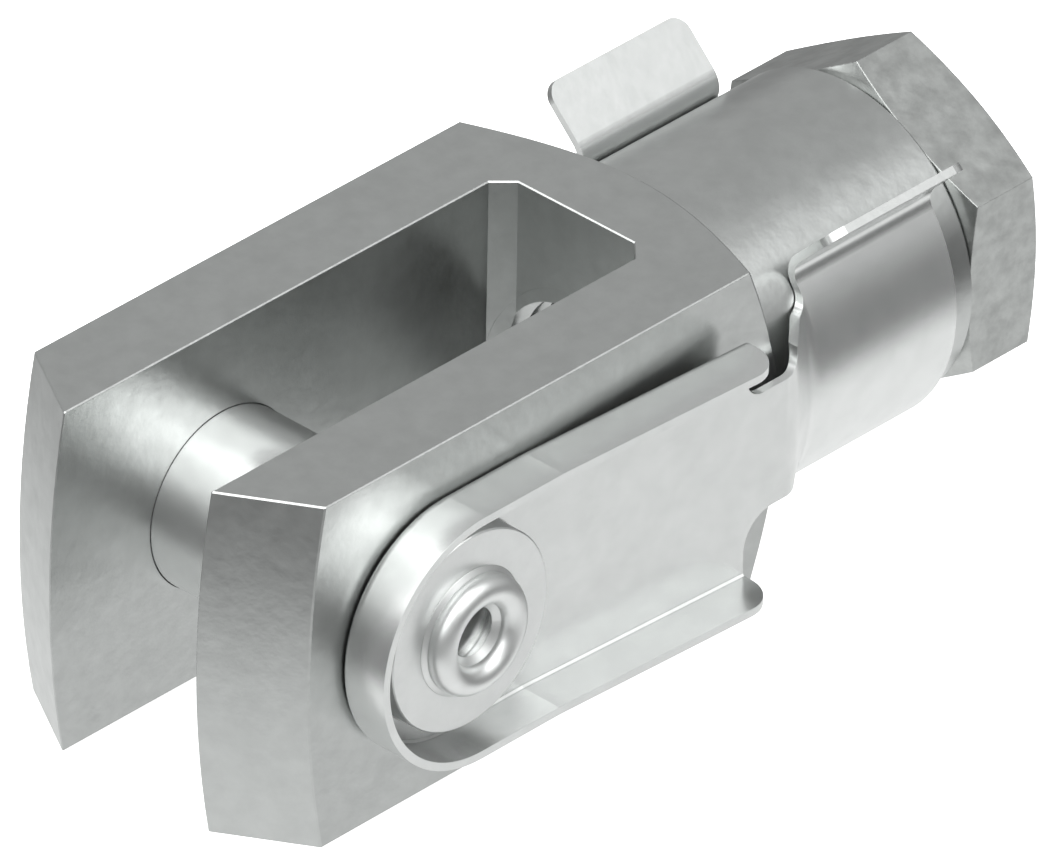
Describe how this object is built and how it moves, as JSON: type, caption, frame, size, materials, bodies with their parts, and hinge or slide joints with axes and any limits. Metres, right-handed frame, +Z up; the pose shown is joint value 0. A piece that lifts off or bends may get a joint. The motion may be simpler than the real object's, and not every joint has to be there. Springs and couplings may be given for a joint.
{
  "type": "tension rod clevis",
  "caption": "Square fork head for the end of a threaded tension rod, with a cross pin held by a folded spring clip that grips the neck, and a thin hexagon lock nut.",
  "frame": {"origin": "where the cross pin's axis meets the middle plane of the slot", "axes": "+X along the rod's axis from the pin to the lock nut, +Y along the pin away from its riveted head, +Z up, out of the open side of the clip's collar"},
  "size_m": [0.057, 0.0238, 0.02],
  "materials": {
    "fork_steel": "satin zinc plate",
    "nut_steel": "satin zinc plate",
    "pin_steel": "satin zinc plate",
    "washer_steel": "satin zinc plate",
    "clip_steel": "smooth zinc-plated spring sheet"
  },
  "bodies": {
    "fork": {"fork_head": "fork_steel"},
    "clip": {"clevis_pin": "pin_steel", "rivet_washer": "washer_steel", "spring_clip": "clip_steel"},
    "nut": {"jam_nut": "nut_steel"}
  },
  "joints": [
    {"name": "clip_swing", "type": "hinge", "parent": "fork", "child": "clip", "pos_m": [0, 0, 0], "axis": [0, 1, 0], "range_deg": [0, 320], "deforming": ["spring_clip"]},
    {"name": "nut_turn", "type": "hinge", "parent": "fork", "child": "nut", "pos_m": [0.0425, 0, 0], "axis": [1, 0, 0], "continuous": true}
  ]
}
